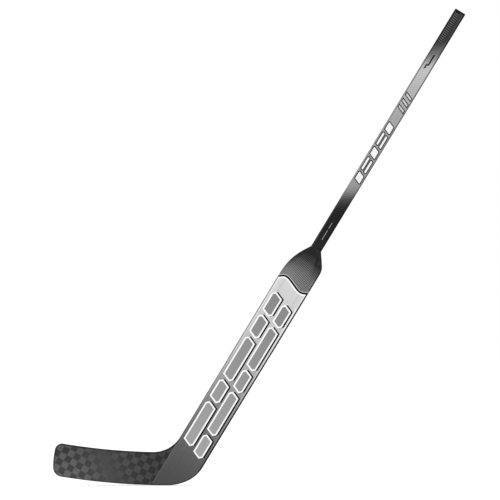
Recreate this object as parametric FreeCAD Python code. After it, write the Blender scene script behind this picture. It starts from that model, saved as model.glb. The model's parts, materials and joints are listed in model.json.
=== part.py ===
import FreeCAD, Part
import math
import os

# A composite hockey goalie stick, in millimetres, shown as it is held: blade low on the left,
# shaft leaning up to the right. X runs to the right, Y away from the front face and Z up.
# The origin is the hand point on the shaft's centre line, just above the shoulder.
# The heel corner is where the paddle's trailing edge would meet the ice line. Lengths along
# the stick start at that corner and run parallel to the shaft.

# Whole stick
lean_angle = 31.3
heel_to_butt = 1380.0
heel_to_collar = 675.5
grip_height = 51.5

# Shaft
shaft_width = 29.6
shaft_thickness = 20.0
shaft_corner_radius = 4.0
shaft_wall = 1.6
shaft_offset = 2.5

# Paddle
paddle_width = 88.9
paddle_thickness = 20.0
paddle_skin = 1.6
paddle_edge_radius = 3.5
rail_width = 4.0
spine_width = 4.0

# Shoulder, between the paddle and the shaft
leading_shoulder_angle = 31.0
trailing_shoulder_angle = 35.0
leading_shoulder_radius = 150.0
trailing_shoulder_radius = 39.0
grip_drop = 106.5
grip_line_swing = 9.4

# Heel and sole
heel_radius = 88.0
heel_turn_angle = 36.4
sole_radius = 128.0
rocker_radius = 1711.0

# Blade
blade_height = 83.8
blade_reach = 351.0
crotch_radius = 80.0
toe_crown_radius = 200.0
toe_rake_angle = 4.1
toe_top_radius = 18.0
toe_sole_radius = 24.0
seam_step = 0.6
blade_mid_thickness = 13.0
blade_toe_thickness = 9.5
blade_mid_share = 0.45
blade_mid_bow = 2.5
blade_toe_bow = 16.0
blade_skin = 1.2
blade_edge_radius = 3.0
scarf_width = 1.0

# Inner joints
shaft_tenon_in_tube = 120.0
shaft_tenon_in_paddle = 110.0
block_floor = 12.0
heel_tenon_in_blade = 45.0
heel_tenon_to_spine = 3.0
heel_tenon_height = 34.0
heel_tenon_thickness = 9.0
bond_gap = 0.15

# End plug
plug_cap = 4.0
plug_cap_rounding = 1.5
plug_spigot_length = 42.0
plug_fin_count = 4
plug_fin_thickness = 2.0
plug_fin_depth = 1.0
plug_clearance = 0.15

# How far the cutting shapes stand clear of what they cut
spare = 25.0


# Sizes that follow from the driving dimensions
lean = math.radians(lean_angle)
leading_slope = math.radians(leading_shoulder_angle)
trailing_slope = math.radians(trailing_shoulder_angle)
heel_turn = math.radians(heel_turn_angle)
toe_rake = math.radians(toe_rake_angle)
half_width = paddle_width / 2
half_shaft = shaft_width / 2
half_paddle = paddle_thickness / 2
core_half = half_paddle - paddle_skin
bore_width = shaft_width - 2 * shaft_wall
bore_thickness = shaft_thickness - 2 * shaft_wall
bore_corner_radius = shaft_corner_radius - shaft_wall
grip_point = heel_to_collar + grip_height
far = 2 * heel_to_butt


def at(across, along):
    """Point in the stick's plane: across from the paddle's centre line, along from the heel."""
    dx = across - shaft_offset
    dz = along - grip_point
    x = dx * math.cos(lean) + dz * math.sin(lean)
    z = dz * math.cos(lean) - dx * math.sin(lean)
    return FreeCAD.Vector(x, 0, z)


def polar(centre, radius, angle):
    """Point on a circle in the stick's plane, the angle measured from straight down."""
    return centre + FreeCAD.Vector(radius * math.sin(angle), 0, -radius * math.cos(angle))


def toward(start, end, length):
    """Point at a length from start, on the line to end."""
    return start + (end - start).normalize() * length


def arc(centre, start, end):
    """The shorter arc about a centre, from start to end."""
    half_way = (start - centre) + (end - centre)
    middle = centre + half_way.normalize() * (start - centre).Length
    return Part.Arc(start, middle, end).toShape()


def toe_side_crossing(first, first_radius, second, second_radius):
    """Where two circles in the stick's plane cross, on the toe's side."""
    between = second - first
    reach = (first_radius ** 2 - second_radius ** 2 + between.Length ** 2) / (2 * between.Length)
    rise = math.sqrt(first_radius ** 2 - reach ** 2)
    foot = toward(first, second, reach)
    sideways = FreeCAD.Vector(-between.z, 0, between.x).normalize() * rise
    return min(foot + sideways, foot - sideways, key=lambda point: point.x)


def polygon(points):
    return Part.Face(Part.makePolygon(points + points[:1]))


def prism(face, low, high):
    """A face of the stick's plane, made solid from one depth to another."""
    moved = face.copy()
    moved.translate(FreeCAD.Vector(0, low, 0))
    return moved.extrude(FreeCAD.Vector(0, high - low, 0))


def band(across_low, across_high, along_low, along_high, low, high):
    """A block squared to the shaft."""
    corners = [
        at(across_low, along_low),
        at(across_high, along_low),
        at(across_high, along_high),
        at(across_low, along_high),
    ]
    return prism(polygon(corners), low, high)


# Heel and sole: three tangent arcs, from the rocker under the blade to the trailing edge
heel_corner = at(half_width, 0)
ice_level = heel_corner.z
whole_turn = math.pi / 2 - lean
sole_turn = whole_turn - heel_turn
arc_shift = sole_radius - heel_radius
heel_centre_z = ice_level + sole_radius - arc_shift * math.cos(sole_turn)
heel_drop = math.sin(lean) * (ice_level - heel_centre_z)
heel_centre_x = heel_corner.x - (heel_radius + heel_drop) / math.cos(lean)
heel_centre = FreeCAD.Vector(heel_centre_x, 0, heel_centre_z)
sole_x = heel_centre_x - arc_shift * math.sin(sole_turn)
sole_point = FreeCAD.Vector(sole_x, 0, ice_level)
sole_centre = FreeCAD.Vector(sole_x, 0, ice_level + sole_radius)
rocker_centre = FreeCAD.Vector(sole_x, 0, ice_level + rocker_radius)
heel_start = polar(sole_centre, sole_radius, sole_turn)
heel_end = polar(heel_centre, heel_radius, whole_turn)

# Toe: a crowned end with two rounded corners, on the blade's rocker arcs
top_radius = rocker_radius - blade_height
middle_radius = rocker_radius - blade_height / 2
toe_angle = math.asin((sole_x - (heel_corner.x - blade_reach)) / middle_radius)
toe_apex = polar(rocker_centre, middle_radius, -toe_angle)
crown_angle = toe_angle - toe_rake
crown_way = FreeCAD.Vector(math.cos(crown_angle), 0, -math.sin(crown_angle))
crown_centre = toe_apex + crown_way * toe_crown_radius
toe_top_centre = toe_side_crossing(
    rocker_centre, top_radius + toe_top_radius, crown_centre, toe_crown_radius - toe_top_radius
)
toe_sole_centre = toe_side_crossing(
    rocker_centre, rocker_radius - toe_sole_radius, crown_centre, toe_crown_radius - toe_sole_radius
)
toe_top_start = toward(rocker_centre, toe_top_centre, top_radius)
toe_top_end = toward(crown_centre, toe_top_centre, toe_crown_radius)
toe_sole_start = toward(crown_centre, toe_sole_centre, toe_crown_radius)
toe_sole_end = toward(rocker_centre, toe_sole_centre, rocker_radius)

# Crotch: the inner corner between the blade's top and the paddle's leading edge
across_way = at(1, 0) - at(0, 0)
along_way = at(0, 1) - at(0, 0)
rocker_offset = rocker_centre - at(0, 0)
rocker_across = rocker_offset.dot(across_way)
rocker_along = rocker_offset.dot(along_way)
crotch_across = -half_width - crotch_radius
crotch_swing = math.sqrt((top_radius - crotch_radius) ** 2 - (crotch_across - rocker_across) ** 2)
crotch_along = rocker_along - crotch_swing
crotch_centre = at(crotch_across, crotch_along)
crotch_start = at(-half_width, crotch_along)
crotch_end = toward(rocker_centre, crotch_centre, top_radius)

# Shoulder: a sloped side on each edge, rounded into the paddle
leading_collar = at(shaft_offset - half_shaft, heel_to_collar)
trailing_collar = at(shaft_offset + half_shaft, heel_to_collar)
leading_run = half_width + shaft_offset - half_shaft
trailing_run = half_width - shaft_offset - half_shaft
leading_corner = heel_to_collar - leading_run / math.tan(leading_slope)
trailing_corner = heel_to_collar - trailing_run / math.tan(trailing_slope)
leading_trim = leading_shoulder_radius * math.tan(leading_slope / 2)
trailing_trim = trailing_shoulder_radius * math.tan(trailing_slope / 2)
leading_slope_end = toward(at(-half_width, leading_corner), leading_collar, leading_trim)
trailing_slope_end = toward(at(half_width, trailing_corner), trailing_collar, trailing_trim)
leading_edge_top = at(-half_width, leading_corner - leading_trim)
trailing_edge_top = at(half_width, trailing_corner - trailing_trim)
leading_round = at(leading_shoulder_radius - half_width, leading_corner - leading_trim)
trailing_round = at(half_width - trailing_shoulder_radius, trailing_corner - trailing_trim)


# The outline's arcs, from the leading side of the collar, round blade and heel, to the trailing side.
# Moving the outline in makes an arc larger where its centre lies outside the stick, and otherwise smaller.
smaller = -1
larger = 1
rim_arcs = [
    (leading_round, leading_slope_end, leading_edge_top, smaller),
    (crotch_centre, crotch_start, crotch_end, larger),
    (rocker_centre, crotch_end, toe_top_start, larger),
    (toe_top_centre, toe_top_start, toe_top_end, smaller),
    (crown_centre, toe_top_end, toe_sole_start, smaller),
    (toe_sole_centre, toe_sole_start, toe_sole_end, smaller),
    (rocker_centre, toe_sole_end, sole_point, smaller),
    (sole_centre, sole_point, heel_start, smaller),
    (heel_centre, heel_start, heel_end, smaller),
    (trailing_round, trailing_edge_top, trailing_slope_end, smaller),
]


def line(start, end):
    return Part.makeLine(start, end)


def collar_corners(depth):
    """The outline's two ends at the collar, leading and trailing, moved in by a depth."""
    half_neck = half_shaft - depth
    leading_drop = depth * math.tan(leading_slope / 2)
    trailing_drop = depth * math.tan(trailing_slope / 2)
    leading = at(shaft_offset - half_neck, heel_to_collar - leading_drop)
    trailing = at(shaft_offset + half_neck, heel_to_collar - trailing_drop)
    return leading, trailing


def rim_edges(depth):
    """The outline as far as the collar, moved in by a depth."""
    leading, trailing = collar_corners(depth)
    edges = []
    last = leading
    for centre, arc_start, arc_end, growth in rim_arcs:
        radius = (arc_start - centre).Length + growth * depth
        start = toward(centre, arc_start, radius)
        end = toward(centre, arc_end, radius)
        if not last.isEqual(start, bond_gap):
            edges.append(line(last, start))
        edges.append(arc(centre, start, end))
        last = end
    edges.append(line(last, trailing))
    return edges


def outline_to_collar():
    leading, trailing = collar_corners(0)
    return Part.Face(Part.Wire(rim_edges(0) + [line(trailing, leading)]))


def outline_with_neck(depth):
    """The outline moved in by a depth, with a length of shaft above the collar."""
    leading, trailing = collar_corners(depth)
    half_neck = half_shaft - depth
    neck_trailing = at(shaft_offset + half_neck, heel_to_collar + spare)
    neck_leading = at(shaft_offset - half_neck, heel_to_collar + spare)
    neck = [
        line(trailing, neck_trailing),
        line(neck_trailing, neck_leading),
        line(neck_leading, leading),
    ]
    return Part.Face(Part.Wire(rim_edges(depth) + neck))


def round_rim(solid, radius):
    """Round the front and back edges that follow the outline."""
    rim = Part.Wire(rim_edges(0))
    edges = []
    for edge in solid.Edges:
        middle = (edge.FirstParameter + edge.LastParameter) / 2
        point = edge.valueAt(middle)
        runs_through = abs(edge.tangentAt(middle).y) > math.cos(math.pi / 4)
        on_plane = Part.Vertex(point.x, 0, point.z)
        if not runs_through and on_plane.distToShape(rim)[0] < bond_gap / 2:
            edges.append(edge)
    return solid.makeFillet(radius, edges)


# The scarf: paddle and blade part along the leading edge's line, cut square near the crotch
scarf_drop = math.sqrt(2 * crotch_radius * scarf_width - scarf_width ** 2)
scarf_along = crotch_along - scarf_drop
seam_foot_swing = math.sqrt(rocker_radius ** 2 - (half_width + rocker_across) ** 2)
seam_foot = at(-half_width, rocker_along - seam_foot_swing)
seam_middle_swing = math.sqrt(middle_radius ** 2 - (half_width + rocker_across) ** 2)
seam_middle = at(-half_width, rocker_along - seam_middle_swing)


def blade_zone(past_seam, past_scarf):
    """Everything on the blade's side of the scarf, or past it by a margin."""
    return band(-far, past_seam - half_width, -far, scarf_along + past_scarf, -far, far)


blade_side = blade_zone(0, 0)
inset_prism = prism(outline_with_neck(rail_width), -far, far)


# Paddle: a flat board from the collar to the heel
def make_paddle_body():
    board = prism(outline_to_collar(), -half_paddle, half_paddle)
    board = board.cut(blade_zone(-spare, -spare))
    return round_rim(board, paddle_edge_radius).cut(blade_side)


def above_grip_line():
    """Everything above the wavy line where the shoulder's grip meets the painted paddle."""
    steps = 8
    wave = []
    for step in range(steps + 1):
        across = -half_width + paddle_width * step / steps
        swing = grip_line_swing * math.sin(2 * math.pi * across / paddle_width)
        wave.append(at(across, heel_to_collar - grip_drop - swing))
    curve = Part.BSplineCurve()
    curve.interpolate(wave)
    top_trailing = at(half_width, heel_to_collar + spare)
    top_leading = at(-half_width, heel_to_collar + spare)
    sides = [
        line(wave[-1], top_trailing),
        line(top_trailing, top_leading),
        line(top_leading, wave[0]),
    ]
    return prism(Part.Face(Part.Wire([curve.toShape()] + sides)), -far, far)


paddle_body = make_paddle_body()
paddle_inside = paddle_body.common(inset_prism)
paddle_rim = paddle_body.cut(inset_prism)
grip_zone = above_grip_line()
spine_leading = shaft_offset - spine_width / 2
spine_trailing = shaft_offset + spine_width / 2
block_foot = heel_to_collar - shaft_tenon_in_paddle - block_floor


def slab(low, high):
    """A layer of the paddle between two depths."""
    return band(-far, far, -far, far, low, high)


def rounded_bar(width, thickness, radius, start, end):
    """A bar of rounded section on the shaft's centre line, between two lengths along the stick."""
    bar = band(
        shaft_offset - width / 2,
        shaft_offset + width / 2,
        start,
        end,
        -thickness / 2,
        thickness / 2,
    )
    along_edges = []
    for edge in bar.Edges:
        if abs(edge.tangentAt(edge.FirstParameter).dot(along_way)) > math.cos(math.pi / 4):
            along_edges.append(edge)
    return bar.makeFillet(radius, along_edges)


# Shaft: a tube that stands on the collar, with a tenon down into the shoulder block
tube_top = heel_to_butt - plug_cap
tenon_width = bore_width - 2 * bond_gap
tenon_thickness = min(bore_thickness, 2 * core_half) - 2 * bond_gap
tenon_foot = heel_to_collar - shaft_tenon_in_paddle
tenon_head = heel_to_collar + shaft_tenon_in_tube


def make_shaft_tube():
    outer = rounded_bar(
        shaft_width, shaft_thickness, shaft_corner_radius, heel_to_collar, tube_top
    )
    bore = rounded_bar(
        bore_width, bore_thickness, bore_corner_radius, heel_to_collar - spare, tube_top + spare
    )
    return outer.cut(bore)


def make_shaft_tenon():
    corner = bore_corner_radius - bond_gap
    return rounded_bar(tenon_width, tenon_thickness, corner, tenon_foot, tenon_head)


def tenon_pocket():
    """The slot that the shaft's tenon fills, open to both skins."""
    half_slot = tenon_width / 2 + bond_gap
    return band(
        shaft_offset - half_slot,
        shaft_offset + half_slot,
        tenon_foot - bond_gap,
        heel_to_collar + spare,
        -core_half,
        core_half,
    )


def make_end_plug():
    """Cap, stem and fins in one moulding."""
    cap = rounded_bar(shaft_width, shaft_thickness, shaft_corner_radius, tube_top, heel_to_butt)
    top_edges = []
    for edge in cap.Edges:
        middle = edge.valueAt((edge.FirstParameter + edge.LastParameter) / 2)
        height = (middle - at(0, tube_top)).dot(along_way)
        if height > plug_cap - plug_clearance:
            top_edges.append(edge)
    cap = cap.makeFillet(plug_cap_rounding, top_edges)
    fin_width = bore_width - 2 * plug_clearance
    fin_thickness = bore_thickness - 2 * plug_clearance
    fin_corner = bore_corner_radius - plug_clearance
    foot = tube_top - plug_spigot_length
    plug = cap.fuse(
        rounded_bar(
            fin_width - 2 * plug_fin_depth,
            fin_thickness - 2 * plug_fin_depth,
            fin_corner,
            foot,
            tube_top,
        )
    )
    pitch = plug_spigot_length / plug_fin_count
    for count in range(plug_fin_count):
        fin_foot = foot + pitch * count
        fin = rounded_bar(
            fin_width, fin_thickness, fin_corner, fin_foot, fin_foot + plug_fin_thickness
        )
        plug = plug.fuse(fin)
    return plug.removeSplitter()


# Blade: its front and back faces are upright walls that follow two smooth plan curves
heel_half = half_paddle - seam_step
toe_x = toe_apex.x - spare / 2
heel_x = heel_corner.x + spare
free_length = seam_foot.x - toe_apex.x
middle_x = seam_foot.x - blade_mid_share * free_length


def plan_wall(side):
    """Plan points of one face: at the seam, part way along the blade, and at the toe."""
    return [
        FreeCAD.Vector(seam_foot.x, side * heel_half, 0),
        FreeCAD.Vector(middle_x, blade_mid_bow + side * blade_mid_thickness / 2, 0),
        FreeCAD.Vector(toe_apex.x, blade_toe_bow + side * blade_toe_thickness / 2, 0),
    ]


def plan_edges(side, shift):
    """One face of the blade in plan, from the heel to the toe, moved in by a shift."""
    inward = FreeCAD.Vector(0, -side * shift, 0)
    points = [point + inward for point in plan_wall(side)]
    curve = Part.BSplineCurve()
    curve.interpolate(Points=points, InitialTangent=FreeCAD.Vector(-1, 0, 0))
    end_way = curve.tangent(curve.LastParameter)[0]
    past_toe = points[-1] + end_way * ((toe_x - points[-1].x) / end_way.x)
    past_heel = FreeCAD.Vector(heel_x, points[0].y, 0)
    return [line(past_heel, points[0]), curve.toShape(), line(points[-1], past_toe)]


def plan_layer(front_side, front_shift, back_side, back_shift):
    """An upright layer of the blade, between two plan walls."""
    front = plan_edges(front_side, front_shift)
    back = plan_edges(back_side, back_shift)
    toe_end = line(front[-1].Vertexes[-1].Point, back[-1].Vertexes[-1].Point)
    heel_end_line = line(back[0].Vertexes[0].Point, front[0].Vertexes[0].Point)
    wire = Part.Wire(Part.__sortEdges__(front + [toe_end] + back + [heel_end_line]))
    face = Part.Face(wire)
    face.translate(FreeCAD.Vector(0, 0, ice_level - spare))
    return face.extrude(FreeCAD.Vector(0, 0, heel_to_collar))


def make_blade_body():
    strip = prism(outline_to_collar(), -far, far).common(blade_zone(spare, spare))
    strip = strip.common(plan_layer(-1, 0, 1, 0))
    return round_rim(strip, blade_edge_radius).common(blade_side)


blade_body = make_blade_body()
blade_inside = blade_body.common(inset_prism)
blade_core = blade_inside.common(plan_layer(-1, blade_skin, 1, blade_skin))


def rocker_disc(radius):
    """A disc about the rocker's centre, through the whole depth."""
    circle = Part.Circle(rocker_centre, FreeCAD.Vector(0, 1, 0), radius).toShape()
    return prism(Part.Face(Part.Wire(circle)), -far, far)


# Heel tenon: a plate across the seam, level with the ice, in a pocket on each side
spine_room = (spine_leading + half_width - heel_tenon_to_spine) / math.cos(lean)
tenon_tilt = heel_tenon_height / 2 * math.tan(lean)
heel_tenon_in_paddle = spine_room - tenon_tilt


def heel_plate(gap):
    length = heel_tenon_in_blade + heel_tenon_in_paddle + 2 * gap
    height = heel_tenon_height + 2 * gap
    thickness = heel_tenon_thickness + 2 * gap
    corner = FreeCAD.Vector(
        seam_middle.x - heel_tenon_in_blade - gap, -thickness / 2, seam_middle.z - height / 2
    )
    return Part.makeBox(length, thickness, height, corner)


heel_pocket = heel_plate(bond_gap)
blade_spine_start = seam_middle.x - heel_tenon_in_blade - bond_gap


def toe_side_of(x):
    """Everything on the toe's side of an upright plane."""
    return Part.makeBox(far, 2 * far, 2 * far, FreeCAD.Vector(x - far, -far, -far))


def make_blade_spine():
    ring = rocker_disc(middle_radius + spine_width / 2)
    ring = ring.cut(rocker_disc(middle_radius - spine_width / 2))
    return blade_core.common(ring).common(toe_side_of(blade_spine_start))


blade_spine = make_blade_spine()
blade_foam = blade_core.cut(blade_spine).cut(heel_pocket)
blade_upper_zone = rocker_disc(middle_radius)
front_layer = slab(-half_paddle, -core_half)
core_layer = slab(-core_half, core_half)
back_layer = slab(core_half, half_paddle)
front_panel = paddle_inside.common(front_layer)
back_panel = paddle_inside.common(back_layer)
paddle_core = paddle_inside.common(core_layer)
below_block = band(-far, far, -far, block_foot, -far, far)
leading_zone = band(-far, spine_leading, -far, far, -far, far)
spine_zone = band(spine_leading, spine_trailing, -far, far, -far, far)
trailing_zone = band(spine_trailing, far, -far, far, -far, far)
leading_rim, trailing_rim = sorted(paddle_rim.Solids, key=lambda rim: rim.CenterOfMass.dot(across_way))

nodes = {
    "shaft_tube": make_shaft_tube(),
    "end_plug": make_end_plug(),
    "shaft_tenon": make_shaft_tenon(),
    "shoulder_block": paddle_core.cut(below_block).cut(tenon_pocket()),
    "shoulder_front_grip": front_panel.common(grip_zone),
    "shoulder_back_grip": back_panel.common(grip_zone),
    "paddle_front_skin": front_panel.cut(grip_zone),
    "paddle_back_skin": back_panel.cut(grip_zone),
    "paddle_core_leading": paddle_core.common(below_block).common(leading_zone).cut(heel_pocket),
    "paddle_core_trailing": paddle_core.common(below_block).common(trailing_zone),
    "paddle_spine": paddle_core.common(below_block).common(spine_zone),
    "leading_edge_rail": leading_rim.cut(tenon_pocket()),
    "trailing_edge_rail": trailing_rim.cut(tenon_pocket()),
    "heel_tenon": heel_plate(0),
    "blade_front_skin": blade_inside.common(plan_layer(-1, 0, -1, blade_skin)),
    "blade_back_skin": blade_inside.common(plan_layer(1, blade_skin, 1, 0)),
    "blade_edge_rail": blade_body.cut(inset_prism),
    "blade_core_upper": blade_foam.common(blade_upper_zone),
    "blade_core_lower": blade_foam.cut(blade_upper_zone),
    "blade_spine": blade_spine,
}

os.makedirs("parts", exist_ok=True)
for name, shape in nodes.items():
    solids = shape.Solids
    solid = solids[0] if len(solids) == 1 else Part.makeCompound(solids)
    solid.exportStep(os.path.join("parts", name + ".step"))
    print(name, len(solids), solid.isValid(), round(solid.Volume), "mm3")
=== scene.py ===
# %% [markdown]
# A goalie stick is a flat foam paddle with a woven blade glued to its heel and a hollow shaft on top.
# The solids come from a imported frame, so nothing here is moved or resized. We only dress it:
# every surface gets a finish, and the printed and moulded details are added as thin pieces.
# The first cell loads that frame and keeps its box, so that we can compare sizes at the end.

# %% Load the frame
import bpy
import bmesh
import json
import math
from mathutils import Matrix, Vector


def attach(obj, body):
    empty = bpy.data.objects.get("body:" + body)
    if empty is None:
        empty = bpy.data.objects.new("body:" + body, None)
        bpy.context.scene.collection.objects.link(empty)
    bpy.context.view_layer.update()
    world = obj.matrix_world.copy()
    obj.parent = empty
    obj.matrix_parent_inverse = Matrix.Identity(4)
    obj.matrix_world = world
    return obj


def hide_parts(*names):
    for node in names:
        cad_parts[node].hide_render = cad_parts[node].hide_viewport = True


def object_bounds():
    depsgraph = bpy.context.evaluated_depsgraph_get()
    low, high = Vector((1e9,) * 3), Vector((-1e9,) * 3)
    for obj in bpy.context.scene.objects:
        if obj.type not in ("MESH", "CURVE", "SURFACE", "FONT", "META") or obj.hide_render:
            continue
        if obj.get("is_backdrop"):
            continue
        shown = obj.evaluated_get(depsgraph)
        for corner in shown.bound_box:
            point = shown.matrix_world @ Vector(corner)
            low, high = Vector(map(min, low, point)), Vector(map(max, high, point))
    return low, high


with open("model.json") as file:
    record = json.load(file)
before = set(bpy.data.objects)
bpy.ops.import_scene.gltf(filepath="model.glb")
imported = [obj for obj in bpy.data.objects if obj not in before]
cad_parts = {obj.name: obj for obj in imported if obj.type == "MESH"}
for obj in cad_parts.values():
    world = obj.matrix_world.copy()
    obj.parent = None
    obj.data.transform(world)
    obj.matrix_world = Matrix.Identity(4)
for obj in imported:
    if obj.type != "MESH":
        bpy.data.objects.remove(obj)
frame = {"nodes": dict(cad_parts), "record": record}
cad_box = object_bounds()

# %% [markdown]
# The stick leans, so left and right in the scene are awkward words for it. A maker measures along
# the stick and across it instead. The hand point on the shaft is the frame's origin, and its mount
# gives the shaft's direction. One matrix then turns (across, depth, along) into places in the scene.
# Along starts at the heel corner, and across starts at the paddle's centre line.

# %% The stick's own directions
mounts = {mount["name"]: mount for mount in frame["record"]["mounts"]}
shaft_way = Vector(mounts["hand_grip"]["axis"])
lean = math.atan2(shaft_way.x, shaft_way.z)
heel_to_hand = 0.727
shaft_offset = 0.0025
face_depth = mounts["paddle_back"]["pos_m"][1]
from_hand = Matrix.Translation((-shaft_offset, 0, -heel_to_hand))
stick_to_scene = Matrix.Rotation(lean, 4, "Y") @ from_hand
print("lean", round(math.degrees(lean), 2), "degrees, faces at", face_depth, "m")

# %% [markdown]
# Every finish on this stick is a grey, so it is easier to think in tones from 0, black, to 255,
# white, as the eye reads them. The shader nodes add and mix such tones as plain numbers. A few small
# helpers keep the node trees short: add a node, do arithmetic, step softly, and fade between places.

# %% Shader helpers
white = 255


def add_node(tree, kind, inputs=(), **options):
    """Add a shader node, set its options, and fill its inputs in order with links or values."""
    node = tree.nodes.new(kind)
    for option, value in options.items():
        setattr(node, option, value)
    for place, value in enumerate(inputs):
        if isinstance(value, bpy.types.NodeSocket):
            tree.links.new(value, node.inputs[place])
        elif value is not None:
            node.inputs[place].default_value = value
    return node


def calc(tree, operation, *values):
    """One step of arithmetic on links or numbers."""
    return add_node(tree, "ShaderNodeMath", values, operation=operation).outputs[0]


def step_up(tree, value, low, high):
    """A soft step from 0 at low to 1 at high."""
    inputs = (value, low, high, 0.0, 1.0)
    return add_node(tree, "ShaderNodeMapRange", inputs, interpolation_type="SMOOTHSTEP").outputs[0]


def step_down(tree, value, low, high):
    """A soft step from 1 at low to 0 at high."""
    return calc(tree, "SUBTRACT", 1.0, step_up(tree, value, low, high))


def mix_tone(tree, share, first, second):
    """The first tone where share is 0, and the second where it is 1."""
    return add_node(tree, "ShaderNodeMix", (share, None, first, second)).outputs[0]


def fade(tree, place, *stops):
    """A tone that fades between stops, each a place in metres and a tone from 0 to 255."""
    first = stops[0][0]
    length = stops[-1][0] - first
    share = calc(tree, "DIVIDE", calc(tree, "SUBTRACT", place, first), length)
    node = add_node(tree, "ShaderNodeValToRGB", (share,))
    elements = node.color_ramp.elements
    elements.remove(elements[1])
    for stop, _ in stops[1:]:
        elements.new((stop - first) / length)
    for element, (_, tone) in zip(elements, stops):
        element.color = (tone / white, tone / white, tone / white, 1)
    return add_node(tree, "ShaderNodeSeparateColor", (node.outputs[0],)).outputs[0]


print("tones run from 0 to", white)

# %% [markdown]
# A finish starts with the place of each point on the stick, which is its Object coordinate turned
# by the lean. Real paint is never dead flat, so each finish also gets noise that is drawn out along
# the stick like brush marks. A finish ends in the shader. A power turns the tone into the linear
# colour that the shader wants. Lacquer mirrors a little of the white room on top of every colour, so
# that share is taken off first, and dark paint then renders as dark as we wrote it.

# %% Start and end a finish
display_gamma = 2.2
light_match = 1.05
lacquer_sheen = 0.011
darkest = 0.003
lacquer_gloss = 0.12
noise_middle = 0.5


def start_finish(name):
    """A new material, its node tree, and the place of each point on the stick."""
    finish = bpy.data.materials.new(name)
    finish.use_nodes = True
    tree = finish.node_tree
    scene_place = add_node(tree, "ShaderNodeTexCoord").outputs["Object"]
    shift = (shaft_offset, 0, heel_to_hand)
    turn = (0, -lean, 0)
    place = add_node(tree, "ShaderNodeMapping", (scene_place, shift, turn)).outputs[0]
    return finish, tree, place


def directions(tree, place):
    """The three coordinates of a place. On the stick they are across, depth and along."""
    return add_node(tree, "ShaderNodeSeparateXYZ", (place,)).outputs


def grain(tree, place, across_scale, along_scale, detail=3.0):
    """Noise from -0.5 to 0.5, drawn out along the stick where the along scale is smaller."""
    scale = (across_scale, across_scale, along_scale)
    drawn = add_node(tree, "ShaderNodeMapping", (place, (0, 0, 0), (0, 0, 0), scale)).outputs[0]
    noise = add_node(tree, "ShaderNodeTexNoise", (drawn, None, 1.0, detail))
    return calc(tree, "SUBTRACT", noise.outputs[0], noise_middle)


def add_tones(tree, tone, share, strength):
    """Add up to strength tones, where share is 1."""
    return calc(tree, "ADD", tone, calc(tree, "MULTIPLY", share, strength / white))


def end_finish(tree, tone, height, relief, roughness):
    """Turn the tone into the shader's colour, and the height, in metres of relief, into its bump."""
    shader = tree.nodes["Principled BSDF"]
    light = calc(tree, "MULTIPLY", calc(tree, "POWER", tone, display_gamma), light_match)
    colour = calc(tree, "MAXIMUM", calc(tree, "SUBTRACT", light, lacquer_sheen), darkest)
    tree.links.new(colour, shader.inputs["Base Color"])
    bump = add_node(tree, "ShaderNodeBump")
    bump.inputs["Strength"].default_value = 1.0
    bump.inputs["Distance"].default_value = relief
    tree.links.new(height, bump.inputs["Height"])
    tree.links.new(bump.outputs[0], shader.inputs["Normal"])
    shader.inputs["Roughness"].default_value = roughness
    shader.inputs["Specular IOR Level"].default_value = lacquer_gloss


def dress(finish, *names):
    """Give a finish to nodes of the frame."""
    for name in names:
        materials = frame["nodes"][name].data.materials
        materials.clear()
        materials.append(finish)
    print(finish.name, "on", ", ".join(names))


print("lacquer mirrors", lacquer_sheen, "of the room")

# %% [markdown]
# The painted paddle and the ribbed shoulder meet on a wavy line: a black pinstripe with a white band
# below it and a thin grey line above. The edge strips cross that line too, so all the finishes there
# share it. It is a sine wave across the paddle, with a small second wave of half its length that makes
# the crest broader than the trough, and it droops a little at the leading edge. The shader works out
# how far above the line a point lies, so the stripes keep the same width all along it.

# %% The wavy line
paddle_width = 0.0889
half_width = paddle_width / 2
line_height = 0.569
line_swing = 0.0080
line_skew = 0.0009
line_droop = 0.0022
droop_span = (0.0260, 0.0465)
wave_turns = 2 * math.pi / paddle_width
stripe_edge = 0.0002
white_band_foot = -0.0064
black_line_foot = -0.0026
grey_line_foot = 0.0020
grip_foot = 0.0040
white_band_tone = 250 / white
black_line_tone = 8 / white
grey_line_tone = 188 / white


def above_wave(tree, across, along):
    """How far a point lies above the wavy line, in metres, measured square to the wave."""
    angle = calc(tree, "MULTIPLY", across, wave_turns)
    double = calc(tree, "MULTIPLY", angle, 2.0)
    swing = calc(tree, "MULTIPLY", calc(tree, "SINE", angle), line_swing)
    skew = calc(tree, "MULTIPLY", calc(tree, "SINE", double), line_skew)
    near_end = step_up(tree, calc(tree, "MULTIPLY", across, -1.0), *droop_span)
    droop = calc(tree, "MULTIPLY", near_end, line_droop)
    from_middle = calc(tree, "SUBTRACT", along, line_height)
    rise = calc(tree, "SUBTRACT", calc(tree, "ADD", from_middle, swing), skew)
    rise = calc(tree, "ADD", rise, droop)
    swing_slope = calc(tree, "MULTIPLY", calc(tree, "COSINE", angle), line_swing * wave_turns)
    skew_slope = calc(tree, "MULTIPLY", calc(tree, "COSINE", double), 2 * line_skew * wave_turns)
    slope = calc(tree, "SUBTRACT", swing_slope, skew_slope)
    stretch = calc(tree, "SQRT", calc(tree, "ADD", calc(tree, "MULTIPLY", slope, slope), 1.0))
    return calc(tree, "DIVIDE", rise, stretch)


def stripes_between(tree, above, below_tone, band_tone, above_tone):
    """The tone below the line, the pale band, the black and grey stripes, and the tone above it."""
    bands = [
        (white_band_foot, band_tone),
        (black_line_foot, black_line_tone),
        (grey_line_foot, grey_line_tone),
        (grip_foot, above_tone),
    ]
    tone = below_tone
    for foot, stripe_tone in bands:
        share = step_up(tree, above, foot - stripe_edge, foot + stripe_edge)
        tone = mix_tone(tree, share, tone, stripe_tone)
    return tone


stripes_width = round(grip_foot - white_band_foot, 4)
print("wavy line", line_height, "m above the heel, with stripes", stripes_width, "m wide")

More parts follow.
